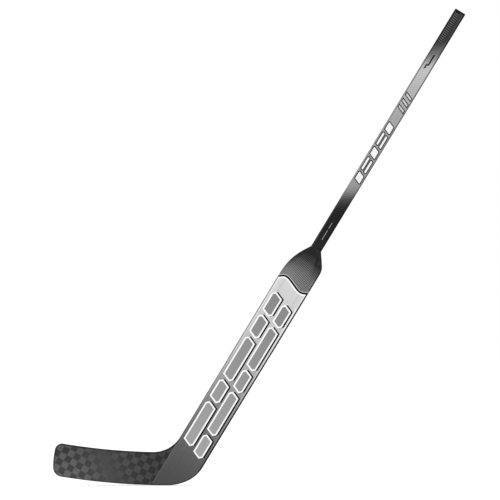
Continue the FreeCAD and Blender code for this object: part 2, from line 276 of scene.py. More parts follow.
# %% [markdown]
# The shoulder is grey at the wavy line and black at the shaft. Its sides slope away from the light, so
# they are darker, and a soft crease runs up its trailing side. The solid's face is flat there, and
# lamps alone wouldn't show such slight shapes, so the finish paints them. One fade runs along the
# stick, and shares that rise and fall between two places darken the slopes and the crease.

# %% The shoulder's tone
slant_span = (0.585, 0.625)
slant_middle = 113 / white
slope_start = 0.588
slope_edge = 0.0433
slope_bend = 4.6
slope_width = 0.013
slope_along = (0.592, 0.625, 0.632, 0.662)
far_side_span = (0.012, 0.034)
far_side_along = (0.596, 0.616, 0.636, 0.652)
crease_lean = 0.264
crease_place = 0.1915
crease_half = 0.005
crease_along = (0.618, 0.640, 0.652, 0.668)
past_crease_span = (-0.004, 0.004)


def between(tree, value, start, full, full_end, end):
    """A share that rises from start to full, and falls again from full_end to end."""
    risen = step_up(tree, value, start, full)
    fallen = step_up(tree, value, full_end, end)
    return calc(tree, "SUBTRACT", risen, fallen)


def on_leading_slope(tree, across, along):
    """A share that is 1 along the leading slope, whose edge is a parabola up the stick."""
    past_start = calc(tree, "SUBTRACT", along, slope_start)
    edge_shift = calc(tree, "MULTIPLY", calc(tree, "MULTIPLY", past_start, past_start), slope_bend)
    from_edge = calc(tree, "SUBTRACT", calc(tree, "ADD", across, slope_edge), edge_shift)
    by_edge = step_down(tree, from_edge, 0.0, slope_width)
    return calc(tree, "MULTIPLY", by_edge, between(tree, along, *slope_along))


def shoulder_tone(tree, across, along):
    """Grey at the wavy line, fading to black at the shaft, and darker down both sloping sides."""
    tone = fade(
        tree, along,
        (0.570, 123), (0.592, 117), (0.612, 105), (0.620, 93), (0.632, 83), (0.640, 64),
        (0.649, 59), (0.657, 47), (0.700, 43),
    )
    slant = fade(tree, across, (-0.042, 115), (-0.028, 127), (0.0, 114), (0.036, 101), (0.044, 116))
    slant = calc(tree, "SUBTRACT", slant, slant_middle)
    low_down = step_down(tree, along, *slant_span)
    tone = calc(tree, "ADD", tone, calc(tree, "MULTIPLY", slant, low_down))
    tone = add_tones(tree, tone, on_leading_slope(tree, across, along), strength=-28)
    far_side = step_up(tree, across, *far_side_span)
    far_side = calc(tree, "MULTIPLY", far_side, between(tree, along, *far_side_along))
    tone = add_tones(tree, tone, far_side, strength=-17)
    leaned = calc(tree, "ADD", across, calc(tree, "MULTIPLY", along, crease_lean))
    past_crease = calc(tree, "SUBTRACT", leaned, crease_place)
    crease_shown = between(tree, along, *crease_along)
    in_crease = step_down(tree, calc(tree, "ABSOLUTE", past_crease), 0.0, crease_half)
    tone = add_tones(tree, tone, calc(tree, "MULTIPLY", in_crease, crease_shown), strength=-14)
    beyond = step_up(tree, past_crease, *past_crease_span)
    return add_tones(tree, tone, calc(tree, "MULTIPLY", beyond, crease_shown), strength=-4)


print("shoulder shaded from", slant_span[0], "to", crease_along[-1], "m along")

# %% [markdown]
# The paddle's paint is dark at the heel and fades to near white under the wavy line, over fibres
# that show as fine streaks along the stick. A ramp on the along coordinate makes the fade, and the
# drawn-out noise makes the streaks, both in the colour and as a faint relief under the light. Halfway
# to each side a soft darker band of painted shade stands in for a shallow crease in the face, pale
# lines run just inside the edges, and a painted highlight lies along the seam where the blade is
# glued, as the glint on its edge.

# %% Paddle paint
# Painted shade: a soft darker band halfway to each side, for a shallow crease in the face.
facet_shade_place = 0.025
facet_shade_half = 0.006
facet_shade_along = (0.1, 0.2)
edge_line_span = (0.0372, 0.0385)
edge_line_along = (0.1, 0.5)
# A painted highlight along the seam where the blade is glued, as a glint on its edge.
seam_top = 0.0768
glint_width = 0.004


def make_paddle_paint():
    finish, tree, place = start_finish("paddle_paint")
    across, _, along = directions(tree, place)
    tone = fade(
        tree, along,
        (-0.06, 81), (0.0, 84), (0.05, 93), (0.09, 102), (0.16, 119), (0.26, 152),
        (0.35, 181), (0.45, 198), (0.57, 212),
    )
    fibres = grain(tree, place, across_scale=900, along_scale=9)
    tone = add_tones(tree, tone, fibres, strength=26)
    broad = grain(tree, place, across_scale=90, along_scale=3)
    tone = add_tones(tree, tone, broad, strength=6)
    # Painted shade halfway to each side, for a shallow crease in the face.
    from_centre = calc(tree, "ABSOLUTE", across)
    from_facet_shade = calc(tree, "ABSOLUTE", calc(tree, "SUBTRACT", from_centre, facet_shade_place))
    facet_shade = step_down(tree, from_facet_shade, 0.0, facet_shade_half)
    facet_shade = calc(tree, "MULTIPLY", facet_shade, step_up(tree, along, *facet_shade_along))
    tone = add_tones(tree, tone, facet_shade, strength=-8)
    edge_line = step_up(tree, from_centre, *edge_line_span)
    edge_line = calc(tree, "MULTIPLY", edge_line, step_up(tree, along, *edge_line_along))
    tone = add_tones(tree, tone, edge_line, strength=18)
    # Painted highlight: a glint along the edge at the seam.
    seam_highlight = step_down(tree, across, -half_width, glint_width - half_width)
    seam_highlight = calc(tree, "MULTIPLY", seam_highlight, calc(tree, "LESS_THAN", along, seam_top))
    tone = add_tones(tree, tone, seam_highlight, strength=14)
    above = above_wave(tree, across, along)
    tone = stripes_between(tree, above, tone, white_band_tone, shoulder_tone(tree, across, along))
    end_finish(tree, tone, fibres, relief=0.00006, roughness=0.42)
    return finish


dress(make_paddle_paint(), "paddle_front_skin", "paddle_back_skin")

# %% [markdown]
# Edge strips run round the paddle. Their flat part carries on the paddle's pale line, and their
# rounded rim is darker: black on the trailing side and round the heel, and grey on the leading side,
# where the grey is partly the rim's paint and partly a painted highlight from the light on that side.
# One finish serves both: it asks on which side of the centre line a point lies, and how far it has
# curved away from the face. Above the wavy line it turns to the shoulder's tone, so the stripes run
# unbroken from edge to edge.

# %% Edge paint
side_change = (-0.01, 0.01)
rim_start = 0.0012
flat_start = 0.0003
trailing_line_span = (0.0405, 0.0411)
leading_line_span = (0.0420, 0.0430)
bright_strip_along = (0.2, 0.45)
# Where the painted highlight on the shoulder's leading rim lies, and how pale it makes the rim.
rim_highlight_along = (0.585, 0.612)
flat_share = 0.90
dark_rim_share = 0.55
rim_highlight_share = 0.85


def make_edge_paint():
    finish, tree, place = start_finish("edge_paint")
    across, depth, along = directions(tree, place)
    inner = fade(
        tree, along,
        (-0.06, 70), (0.05, 90), (0.15, 126), (0.25, 160), (0.35, 192), (0.45, 216), (0.57, 228),
    )
    # The leading rim's grey is partly its paint and partly a painted highlight from the light on that
    # side.
    leading_rim_and_highlight = fade(tree, along, (-0.06, 45), (0.10, 70), (0.30, 85), (0.57, 85))
    trailing_rim = fade(tree, along, (-0.06, 24), (0.30, 18), (0.57, 20))
    on_trailing = step_up(tree, across, *side_change)
    on_leading = calc(tree, "SUBTRACT", 1.0, on_trailing)
    rim_tone = mix_tone(tree, on_trailing, leading_rim_and_highlight, trailing_rim)
    level = calc(tree, "ABSOLUTE", depth)
    curved = step_down(tree, level, face_depth - rim_start, face_depth - flat_start)
    trailing_line = step_up(tree, across, *trailing_line_span)
    leading_line = step_up(tree, calc(tree, "MULTIPLY", across, -1.0), *leading_line_span)
    rim = calc(tree, "MAXIMUM", curved, calc(tree, "MAXIMUM", trailing_line, leading_line))
    bright_strip = calc(tree, "MULTIPLY", on_trailing, step_up(tree, along, *bright_strip_along))
    inner = add_tones(tree, inner, bright_strip, strength=14)
    tone = mix_tone(tree, rim, inner, rim_tone)
    fibres = grain(tree, place, across_scale=900, along_scale=12)
    tone = add_tones(tree, tone, fibres, strength=14)
    # A painted highlight on the shoulder's leading rim, low down.
    highlighted_rim = calc(tree, "MULTIPLY", step_down(tree, along, *rim_highlight_along), on_leading)
    rim_share = mix_tone(tree, highlighted_rim, dark_rim_share, rim_highlight_share)
    shoulder_share = mix_tone(tree, rim, flat_share, rim_share)
    shoulder = calc(tree, "MULTIPLY", shoulder_tone(tree, across, along), shoulder_share)
    band = mix_tone(tree, rim, white_band_tone, rim_tone)
    tone = stripes_between(tree, above_wave(tree, across, along), tone, band, shoulder)
    end_finish(tree, tone, fibres, relief=0.00005, roughness=0.45)
    return finish


dress(make_edge_paint(), "leading_edge_rail", "trailing_edge_rail")

# %% [markdown]
# The blade is wrapped in spread tows: flat carbon ribbons woven one over, one under. Where the
# ribbons that run up the stick lie on top they catch the light differently from those that run
# across, which makes the checks. Because the blade is curved, light and dark swap over halfway along
# it. A Checker node on turned coordinates gives the squares, and a fade along the blade swaps them.
# Fine fibre lines run along the ribbon that is on top in each square. The blade's edge strip has the
# same weave, a shade darker.

# %% Woven blade
tow_width = 0.0165
tow_turn = math.radians(1.5)
tow_shift = (-0.730, 0.5, 0.570)
swap_slant = 0.45
blade_middle = -0.595
tones_per_metre_up = -180
shade_span = (-0.015, 0.015)


def make_woven_blade(name, sole_shade, top_shade):
    finish, tree, place = start_finish(name)
    scene_place = add_node(tree, "ShaderNodeTexCoord").outputs["Object"]
    reach, _, height = directions(tree, scene_place)
    scale = (1 / tow_width, 0, 1 / tow_width)
    inputs = (place, tow_shift, (0, tow_turn, 0), scale)
    on_tows = add_node(tree, "ShaderNodeMapping", inputs).outputs[0]
    checker = add_node(tree, "ShaderNodeTexChecker", (on_tows, None, None, 1.0)).outputs[1]
    tone = fade(tree, reach, (-0.70, 81), (-0.64, 83), (-0.55, 77), (-0.47, 68), (-0.43, 62))
    rise = calc(tree, "SUBTRACT", height, blade_middle)
    slanted = calc(tree, "ADD", reach, calc(tree, "MULTIPLY", rise, swap_slant))
    swap = fade(
        tree, slanted,
        (-0.640, white), (-0.600, 217), (-0.558, 128), (-0.512, 56), (-0.480, 48),
    )
    sign = calc(tree, "SUBTRACT", 1.0, calc(tree, "MULTIPLY", checker, 2.0))
    contrast = calc(tree, "SUBTRACT", calc(tree, "MULTIPLY", swap, 2.0), 1.0)
    tone = add_tones(tree, tone, calc(tree, "MULTIPLY", sign, contrast), strength=14)
    tone = add_tones(tree, tone, calc(tree, "MULTIPLY", rise, swap), tones_per_metre_up)
    up_fibres = grain(tree, place, across_scale=1500, along_scale=30)
    cross_fibres = grain(tree, place, across_scale=30, along_scale=1500)
    fibres = mix_tone(tree, checker, up_fibres, cross_fibres)
    tone = add_tones(tree, tone, fibres, strength=12)
    shade = mix_tone(tree, step_up(tree, rise, *shade_span), sole_shade, top_shade)
    tone = calc(tree, "MULTIPLY", tone, shade)
    end_finish(tree, tone, fibres, relief=0.00005, roughness=0.40)
    return finish


woven_blade = make_woven_blade("woven_blade", sole_shade=1.0, top_shade=1.0)
woven_blade_edge = make_woven_blade("woven_blade_edge", sole_shade=0.95, top_shade=0.72)
dress(woven_blade, "blade_front_skin", "blade_back_skin")
dress(woven_blade_edge, "blade_edge_rail")

# %% [markdown]
# The shaft is painted in one long fade: black where it leaves the shoulder, silver in the middle,
# and dark again at the butt, with fine ripple lines in the lacquer. The fade runs level while the
# stick leans, so the shader slants the along coordinate first. The ripples are shallow arcs, so it
# bends that coordinate by the square of the across one before it takes a sine. The rounded corners
# have a fade of their own: a line darker than the silver, and paler than the black, which is partly
# the sides' darker paint and partly painted shade where the corners turn from the light. The
# trailing corner carries more painted shade, on the side away from the lamp. Where the butt's
# raised ripples will lie, the paint between them is a shade darker.

# %% Shaft paint
fade_slant = 0.7
ripple_pitch = 0.0060
paint_ripple_bend = 26.0
face_half = 0.0108
butt_grip_foot = 1.2868
butt_grip_blend = 0.002
butt_grip_end_span = (-0.0030, 0.0045)
corner_span = (0.0100, 0.0138)
trailing_corner_shift = 0.0005
# How dark the trailing corner's painted shade makes it, as a share of the corner line.
trailing_corner_shade = 0.60


def from_shaft_middle(tree, across):
    """The across coordinate, measured from the shaft's own centre line."""
    return calc(tree, "SUBTRACT", across, shaft_offset)


def slant_along(tree, from_middle, along):
    """The along coordinate on the shaft's slanted fade."""
    return calc(tree, "SUBTRACT", along, calc(tree, "MULTIPLY", from_middle, fade_slant))


def ripple_wave(tree, from_middle, along):
    """A sine up the shaft, bent into arcs that are level at the leading side of the face."""
    from_leading = calc(tree, "ADD", from_middle, face_half)
    bend = calc(tree, "MULTIPLY", calc(tree, "MULTIPLY", from_leading, from_leading), paint_ripple_bend)
    phase = calc(tree, "MULTIPLY", calc(tree, "SUBTRACT", along, bend), 2 * math.pi / ripple_pitch)
    return calc(tree, "SINE", phase)


def make_shaft_paint():
    finish, tree, place = start_finish("shaft_paint")
    across, _, along = directions(tree, place)
    from_middle = from_shaft_middle(tree, across)
    tone = fade(
        tree, slant_along(tree, from_middle, along),
        (0.675, 41), (0.740, 36), (0.785, 34), (0.803, 48), (0.820, 69), (0.845, 125), (0.860, 142),
        (0.870, 149), (1.060, 162), (1.150, 177), (1.200, 191), (1.218, 183), (1.250, 119), (1.274, 85),
        (1.292, 60), (1.305, 57), (1.350, 61), (1.378, 66),
    )
    ripple = ripple_wave(tree, from_middle, along)
    ripple_tone = fade(tree, along, (0.860, 0), (0.880, 8), (1.100, 8), (1.210, 9), (1.285, 0))
    tone = calc(tree, "ADD", tone, calc(tree, "MULTIPLY", ripple, ripple_tone))
    in_grip = step_up(tree, along, butt_grip_foot - butt_grip_blend, butt_grip_foot)
    in_grip = calc(tree, "MULTIPLY", in_grip, step_down(tree, from_middle, *butt_grip_end_span))
    tone = add_tones(tree, tone, in_grip, strength=-28)
    fibres = grain(tree, place, across_scale=700, along_scale=14)
    tone = add_tones(tree, tone, fibres, strength=12)
    on_trailing = calc(tree, "GREATER_THAN", from_middle, 0.0)
    corner_shift = calc(tree, "MULTIPLY", on_trailing, trailing_corner_shift)
    to_corner = calc(tree, "SUBTRACT", calc(tree, "ABSOLUTE", from_middle), corner_shift)
    # The corner line: partly darker side paint, partly painted shade where the corners turn from the
    # light.
    corner_paint_and_shade = fade(
        tree, along,
        (0.790, 58), (0.860, 146), (1.070, 124), (1.170, 106), (1.220, 96), (1.250, 50), (1.290, 28),
        (1.378, 28),
    )
    # Painted shade: the trailing corner is darker, on the side away from the lamp.
    corner_shade_share = mix_tone(tree, on_trailing, 1.0, trailing_corner_shade)
    corner_paint_and_shade = calc(tree, "MULTIPLY", corner_paint_and_shade, corner_shade_share)
    tone = mix_tone(tree, step_up(tree, to_corner, *corner_span), tone, corner_paint_and_shade)
    end_finish(tree, tone, ripple, relief=0.00003, roughness=0.38)
    return finish


dress(make_shaft_paint(), "shaft_tube")

# %% [markdown]
# The butt plug is moulded rubber: near black, matt, with a fine pebbled skin. The pieces inside the
# stick are hidden while it is whole, but they are part of it, so they get their real finishes too:
# pale foam with open cells, and bare dark composite with its fibres along the stick.

# %% Plug, foam and bare composite
rubber_tone = 38 / white
foam_tone = 190 / white
foam_cell_scale = 900.0
composite_tone = 48 / white


def make_plug_rubber():
    finish, tree, place = start_finish("plug_rubber")
    pebbles = grain(tree, place, across_scale=1800, along_scale=1800, detail=2.0)
    tone = add_tones(tree, rubber_tone, pebbles, strength=8)
    end_finish(tree, tone, pebbles, relief=0.00004, roughness=0.75)
    return finish


def make_foam():
    finish, tree, place = start_finish("foam_core")
    cells = add_node(tree, "ShaderNodeTexVoronoi", (place, None, foam_cell_scale)).outputs[0]
    tone = add_tones(tree, foam_tone, cells, strength=30)
    end_finish(tree, tone, cells, relief=0.0003, roughness=0.9)
    return finish


def make_bare_composite():
    finish, tree, place = start_finish("bare_composite")
    fibres = grain(tree, place, across_scale=1500, along_scale=20)
    tone = add_tones(tree, composite_tone, fibres, strength=30)
    end_finish(tree, tone, fibres, relief=0.00008, roughness=0.5)
    return finish


foam_nodes = [
    "paddle_core_leading", "paddle_core_trailing", "blade_core_upper", "blade_core_lower",
    "shoulder_block",
]
dress(make_plug_rubber(), "end_plug")
dress(make_foam(), *foam_nodes)
dress(make_bare_composite(), "shaft_tenon", "heel_tenon", "paddle_spine", "blade_spine")

# %% [markdown]
# Printed and moulded details all end the same way: the mesh, drawn in stick coordinates, is turned
# into its place, and becomes an object that sits at the origin, rides on the stick's body and takes
# its finishes. The same detail is on the front and on the back, so another helper copies what
# was drawn on the front and flips the copy's depth.

# %% Finish a modelled piece
def make_piece(bm, name, slot, *finishes):
    """Turn a mesh drawn in stick coordinates into a piece that rides on the stick."""
    bmesh.ops.transform(bm, matrix=stick_to_scene, verts=bm.verts)
    bmesh.ops.recalc_face_normals(bm, faces=bm.faces)
    mesh = bpy.data.meshes.new(name)
    bm.to_mesh(mesh)
    bm.free()
    for finish in finishes:
        mesh.materials.append(finish)
    piece = bpy.data.objects.new(name, mesh)
    bpy.context.scene.collection.objects.link(piece)
    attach(piece, "stick")
    print(name, len(mesh.polygons), "faces")
    return piece


def only(kind, geometry):
    """The vertices or the faces among what an operator returns."""
    return [item for item in geometry if isinstance(item, kind)]


def copy_to_back(bm):
    """Copy what is drawn on the front to the same place on the back."""
    drawn = bm.verts[:] + bm.edges[:] + bm.faces[:]
    copied = bmesh.ops.duplicate(bm, geom=drawn)["geom"]
    bmesh.ops.scale(bm, vec=(1, -1, 1), verts=only(bmesh.types.BMVert, copied))


print("pieces are turned by", round(math.degrees(stick_to_scene.to_euler().y), 2), "degrees")

# %% [markdown]
# The shoulder is where the hand slides down to, so it is moulded with fine slanted ribs. A bump would
# look flat from the side, so they are real relief here, which the next two steps cut. Their finish
# comes first. It paints a highlight on the crests and shade in the grooves, more so on the trailing
# side, where the ribs show more, and it tells one from the other by how far a point lies below the
# face.

# %% Ribbed finish
groove_depth = 0.0004
# Painted highlight on the crests and painted shade in the grooves, as shares of the tone.
crest_highlight = 1.12
groove_shade = 0.72
rib_shown_span = (-0.035, 0.010)
rib_shown_shares = (0.35, 1.25)


def make_rib_finish():
    finish, tree, place = start_finish("ribbed_grip")
    across, depth, along = directions(tree, place)
    tone = shoulder_tone(tree, across, along)
    level = calc(tree, "ABSOLUTE", depth)
    on_crest = step_up(tree, level, face_depth - groove_depth, face_depth)
    shown = mix_tone(tree, step_up(tree, across, *rib_shown_span), *rib_shown_shares)
    # Painted highlight on the crests and painted shade in the grooves, stronger on the trailing side.
    relief = calc(tree, "MULTIPLY", mix_tone(tree, on_crest, groove_shade - 1, crest_highlight - 1), shown)
    tone = calc(tree, "MULTIPLY", tone, calc(tree, "ADD", relief, 1.0))
    speckle = grain(tree, place, across_scale=1600, along_scale=1600, detail=2.0)
    tone = add_tones(tree, tone, speckle, strength=12)
    above = above_wave(tree, across, along)
    tone = stripes_between(tree, above, white_band_tone, white_band_tone, tone)
    end_finish(tree, tone, speckle, relief=0.00005, roughness=0.5)
    return finish


rib_finish = make_rib_finish()
print(rib_finish.name, "with grooves", groove_depth, "m deep")

# %% [markdown]
# The ribs run across the shoulder at a slight tilt. To cut them, a panel's outer face is sliced into
# strips by a row of planes that all face the same way. Drawing each strip by hand would be the other
# way, but bisect finds where a plane meets the curved outline by itself. It leaves slivers where a
# plane runs close to a corner, so corners that nearly touch are merged afterwards.

# %% Slice a face
rib_tilt = math.radians(14.4)
rib_way = Vector((math.sin(rib_tilt), 0, math.cos(rib_tilt)))
groove_slope = 0.0002
same_plane = 1e-7
facing_out = 0.99


def outer_face(bm, side):
    """The large flat face on the outside of a panel."""
    facing = [face for face in bm.faces if face.normal.y * side > facing_out]
    return max(facing, key=lambda face: face.calc_area())


def slice_face(bm, face, levels):
    """Slice a face at each level, merge corners that then nearly touch, and return the strips."""
    strips = [face]
    for level in levels:
        edges = {edge for strip in strips for edge in strip.edges}
        verts = {vert for strip in strips for vert in strip.verts}
        cut = bmesh.ops.bisect_plane(
            bm,
            geom=strips + list(edges) + list(verts),
            plane_co=rib_way * level,
            plane_no=rib_way,
            dist=same_plane,
        )
        strips = only(bmesh.types.BMFace, cut["geom"])
    corners = {vert for strip in strips for vert in strip.verts}
    bmesh.ops.remove_doubles(bm, verts=list(corners), dist=groove_slope)
    return [strip for strip in strips if strip.is_valid]


print("ribs tilt by", round(math.degrees(rib_tilt), 1), "degrees")

# %% [markdown]
# Now the panels themselves. We copy the frame's plain panel. It arrives as loose triangles, so its
# corners are merged and its flat faces are joined. The outer face is inset so that a flat rim stays,
# the rest is sliced, and every other strip is inset downwards into a groove with sloped sides. The
# smallest strips stay level. So do the crests, with the frame's face, so the shape grows nowhere.

# %% Ribbed shoulder panels
rib_pitch = 0.0044
groove_shares = (0.53, 0.95)
smallest_groove = 0.00002
rim_width = 0.0012
same_corner = 1e-6
flat_angle = math.radians(1)
scene_to_stick = stick_to_scene.inverted()


def rib_panel(node_name, side):
    bm = bmesh.new()
    bm.from_mesh(frame["nodes"][node_name].data)
    bmesh.ops.remove_doubles(bm, verts=bm.verts, dist=same_corner)
    bmesh.ops.transform(bm, matrix=scene_to_stick, verts=bm.verts)
    bmesh.ops.dissolve_limit(bm, angle_limit=flat_angle, verts=bm.verts, edges=bm.edges)
    bm.normal_update()
    face = outer_face(bm, side)
    bmesh.ops.inset_region(bm, faces=[face], thickness=rim_width, use_even_offset=True)
    heights = [rib_way.dot(vert.co) for vert in face.verts]
    foot = min(heights)
    rib_count = int((max(heights) - foot) / rib_pitch)
    levels = [foot + (rib + share) * rib_pitch for rib in range(rib_count) for share in groove_shares]
    grooves = []
    for strip in slice_face(bm, face, levels):
        share = ((rib_way.dot(strip.calc_center_median()) - foot) / rib_pitch) % 1.0
        if groove_shares[0] < share < groove_shares[1] and strip.calc_area() > smallest_groove:
            grooves.append(strip)
    bmesh.ops.inset_individual(
        bm, faces=grooves, thickness=groove_slope, depth=-groove_depth, use_even_offset=True
    )
    piece = make_piece(bm, node_name + "_ribs", "ribbed_grip", rib_finish)
    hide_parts(node_name)
    print(rib_count, "ribs,", len(grooves), "grooves")


rib_panel("shoulder_front_grip", side=-1)
rib_panel("shoulder_back_grip", side=1)

# %% [markdown]
# Ink is a thin finish of its own. Each ink has a tone that may change along the stick, and a fine
# speckle that keeps it from looking dead flat. The raised ripples' lacquer, further down, ends the same
# way, so the ending is a helper.

# %% Inks
def end_ink(tree, place, tone):
    """End a finish as ink or thin lacquer, with a fine speckle in its tone and relief."""
    speckle = grain(tree, place, across_scale=1200, along_scale=300, detail=2.0)
    tone = add_tones(tree, tone, speckle, strength=6)
    end_finish(tree, tone, speckle, relief=0.00002, roughness=0.42)


def make_ink(name, *stops):
    finish, tree, place = start_finish(name)
    along = directions(tree, place)[2]
    end_ink(tree, place, fade(tree, along, *stops))
    return finish


white_ink = make_ink("white_ink", (0.0, 250), (1.4, 250))
black_ink = make_ink("black_ink", (0.0, 14), (1.4, 14))
print_grey = make_ink("print_grey", (0.06, 164), (0.30, 148), (0.53, 135))
print("inks:", white_ink.name, black_ink.name, print_grey.name)

# %% [markdown]
# The paddle carries a large print of slanted shards, grey with a white outline and a black drop shadow.
# A print is a film, so each shard is a thin slab: a few corner points make a face, extrude gives the
# film its thickness, and inset splits the outline from the fill, so that each takes its own ink.

# %% Print blocks
film = 0.00006
end_slope = 0.42
corner_slope = 1.3


def add_block(bm, corners, depth, outline=0.0):
    """A print block on the front face: outline in the first ink, fill in the second."""
    face = bm.faces.new([bm.verts.new((across, -depth, along)) for across, along in corners])
    grown = bmesh.ops.extrude_face_region(bm, geom=[face])["geom"]
    bmesh.ops.translate(bm, vec=(0, -film, 0), verts=only(bmesh.types.BMVert, grown))
    if outline:
        top = only(bmesh.types.BMFace, grown)
        bmesh.ops.inset_region(bm, faces=top, thickness=outline, use_even_offset=True)
        for item in top:
            item.material_index = 1


def bar(left, right, foot, length, slope):
    """Corners of a block whose ends fall to the right by the slope."""
    drop = slope * (right - left)
    return [(left, foot), (right, foot - drop), (right, foot - drop + length), (left, foot + length)]


def shard(left, right, foot, length, cut):
    """Corners of a slanted block whose two sharp corners are cut off."""
    drop = end_slope * (right - left)
    return [
        (left, foot),
        (right - cut, foot - drop + end_slope * cut),
        (right, foot - drop + corner_slope * cut),
        (right, foot - drop + length),
        (left + cut, foot + length - end_slope * cut),
        (left, foot + length - corner_slope * cut),
    ]


print("films are", film, "m thick")

# %% [markdown]
# The shards sit in two columns, and long ones lie beside short ones, so that their slanted ends lock
# together. A loop lays them up the paddle. The shadow is the same block again, moved a little to the
# trailing side and up, and one film lower, so that only its edge shows past the white outline.

# %% Paddle print
paddle_columns = [
    (-0.0352, -0.0045, (0.118, 0.056, 0.118, 0.056, 0.058)),
    (0.0030, 0.0318, (0.058, 0.118, 0.056, 0.118, 0.056)),
]
print_foot = 0.0914
shard_gap = 0.009
shard_cut = 0.008
shard_outline = 0.0039
shadow_move = (0.0042, 0.0024)


def shard_columns():
    """The corners of every shard. A column has its left and right sides and its shards' lengths."""
    first_left = paddle_columns[0][0]
    for left, right, lengths in paddle_columns:
        start = print_foot - end_slope * (left - first_left)
        for length in lengths:
            yield shard(left, right, start, length, shard_cut)
            start += length + shard_gap


shadows = bmesh.new()
shards = bmesh.new()
for corners in shard_columns():
    moved = [(across + shadow_move[0], along + shadow_move[1]) for across, along in corners]
    add_block(shadows, moved, face_depth)
    add_block(shards, corners, face_depth + film, shard_outline)
copy_to_back(shadows)
copy_to_back(shards)
make_piece(shadows, "paddle_print_shadows", "paddle_paint", black_ink)
make_piece(shards, "paddle_print_shards", "paddle_paint", white_ink, print_grey)

# %% [markdown]
# A narrow strip of fine slanted bars runs up each side, between the print and the edge. It is one
# small block repeated, so a loop lays the bars at an even pitch. The trailing strip is printed paler
# than the paint under it, and the leading one a shade darker.

# %% Hatched strips
hatch_pitch = 0.0055
hatch_length = 0.0034
hatch_slope = 0.8
hatch_foot = 0.105
hatch_count = 76


def hatch_strip(name, left, right, ink):
    hatch = bmesh.new()
    for count in range(hatch_count):
        foot = hatch_foot + count * hatch_pitch
        add_block(hatch, bar(left, right, foot, hatch_length, hatch_slope), face_depth)
    copy_to_back(hatch)
    make_piece(hatch, name, "paddle_paint", ink)


trailing_ink = make_ink(
    "trailing_hatch_ink", (0.09, 112), (0.15, 134), (0.25, 172), (0.35, 208), (0.45, 236), (0.55, 246)
)
leading_ink = make_ink(
    "leading_hatch_ink", (0.09, 98), (0.15, 108), (0.25, 138), (0.35, 176), (0.45, 202), (0.55, 208)
)
hatch_strip("paddle_trailing_hatch", left=0.0364, right=0.0402, ink=trailing_ink)
hatch_strip("paddle_leading_hatch", left=-0.0392, right=-0.0358, ink=leading_ink)

# %% [markdown]
# The silver part of the shaft carries the same shards in small, white with dark outlines, in rows of
# one wide or two narrow ones. A loop lays the rows, and an inner loop the shards side by side.

# %% Shaft print
shaft_print_half = 0.0110
shaft_left = shaft_offset - shaft_print_half
shaft_right = shaft_offset + shaft_print_half
shaft_rows = [(0.026, 1), (0.039, 2), (0.026, 1), (0.039, 2), (0.026, 1)]
row_foot = 0.8785
row_gap = 0.0040
column_gap = 0.0008
small_cut = 0.0030
small_outline = 0.0025

dark_ink = make_ink("dark_ink", (0.8, 24), (1.3, 24))
fill_ink = make_ink("fill_ink", (0.8, 240), (1.3, 240))

blocks = bmesh.new()
for length, columns in shaft_rows:
    width = (shaft_right - shaft_left) / columns
    for column in range(columns):
        left = shaft_left + column * width
        foot = row_foot - end_slope * (left - shaft_left)
        corners = shard(left, left + width - column_gap, foot, length, small_cut)
        add_block(blocks, corners, face_depth, small_outline)
    row_foot += length + row_gap
copy_to_back(blocks)
make_piece(blocks, "shaft_print_shards", "shaft_paint", dark_ink, fill_ink)

# %% [markdown]
# After the shards come a few open blocks, whose fill is close to the silver under them, and a short
# dark dash of two slanted strokes towards the butt.

# %% Open blocks and dash
open_count = 3
open_foot = 1.090
open_pitch = 0.018
open_length = 0.0105
open_outline = 0.0022
dash_strokes = [(-0.0030, 1.207, 0.013), (0.0016, 1.217, 0.032)]
dash_width = 0.0038
dash_slope = -1.0

silver_ink = make_ink("silver_ink", (0.8, 170), (1.1, 196), (1.3, 200))

open_blocks = bmesh.new()
for count in range(open_count):
    foot = open_foot + count * open_pitch
    corners = bar(shaft_left, shaft_right, foot, open_length, end_slope)
    add_block(open_blocks, corners, face_depth, open_outline)
copy_to_back(open_blocks)
make_piece(open_blocks, "shaft_open_blocks", "shaft_paint", dark_ink, silver_ink)

dash = bmesh.new()
for left, foot, length in dash_strokes:
    add_block(dash, bar(left, left + dash_width, foot, length, dash_slope), face_depth)
copy_to_back(dash)
make_piece(dash, "shaft_dark_dash", "shaft_paint", dark_ink)

# %% [markdown]
# A broken pale line lies above the shoulder, on top of the raised ripples that the next step makes,
# so its film is seated as high as they are. Another pale line runs beside the grip at the butt, on the
# bare face. Each line has its left side, width, foot, length and seat.

# %% Pale lines
ripple_relief = 0.00014
pale_line_places = [
    (0.0020, 0.0019, 0.703, 0.028, ripple_relief),
    (0.0020, 0.0019, 0.736, 0.017, ripple_relief),
    (0.0110, 0.0014, 1.250, 0.122, 0.0),
]
square_end = 0.0

pale_ink = make_ink("pale_ink", (0.60, 138), (0.90, 138), (1.24, 120), (1.30, 80), (1.40, 86))

pale_lines = bmesh.new()
for left, width, foot, length, seat in pale_line_places:
    add_block(pale_lines, bar(left, left + width, foot, length, square_end), face_depth + seat)
copy_to_back(pale_lines)
make_piece(pale_lines, "shaft_pale_lines", "shaft_paint", pale_ink)

# %% [markdown]
# Above the shoulder the shaft has raised ripples for the lower hand: thin arcs across the face. One
# arc is a narrow grid, bent by a formula and extruded. Copies of it are then moved up the shaft. Their
# lacquer follows the shaft's slanted fade, a little paler than the paint between them.

# %% Ripple grip
ripple_steps = 10
ripple_first = 0.6795
ripple_count = 31
ripple_width = 0.0024
ripple_bend = 17.0


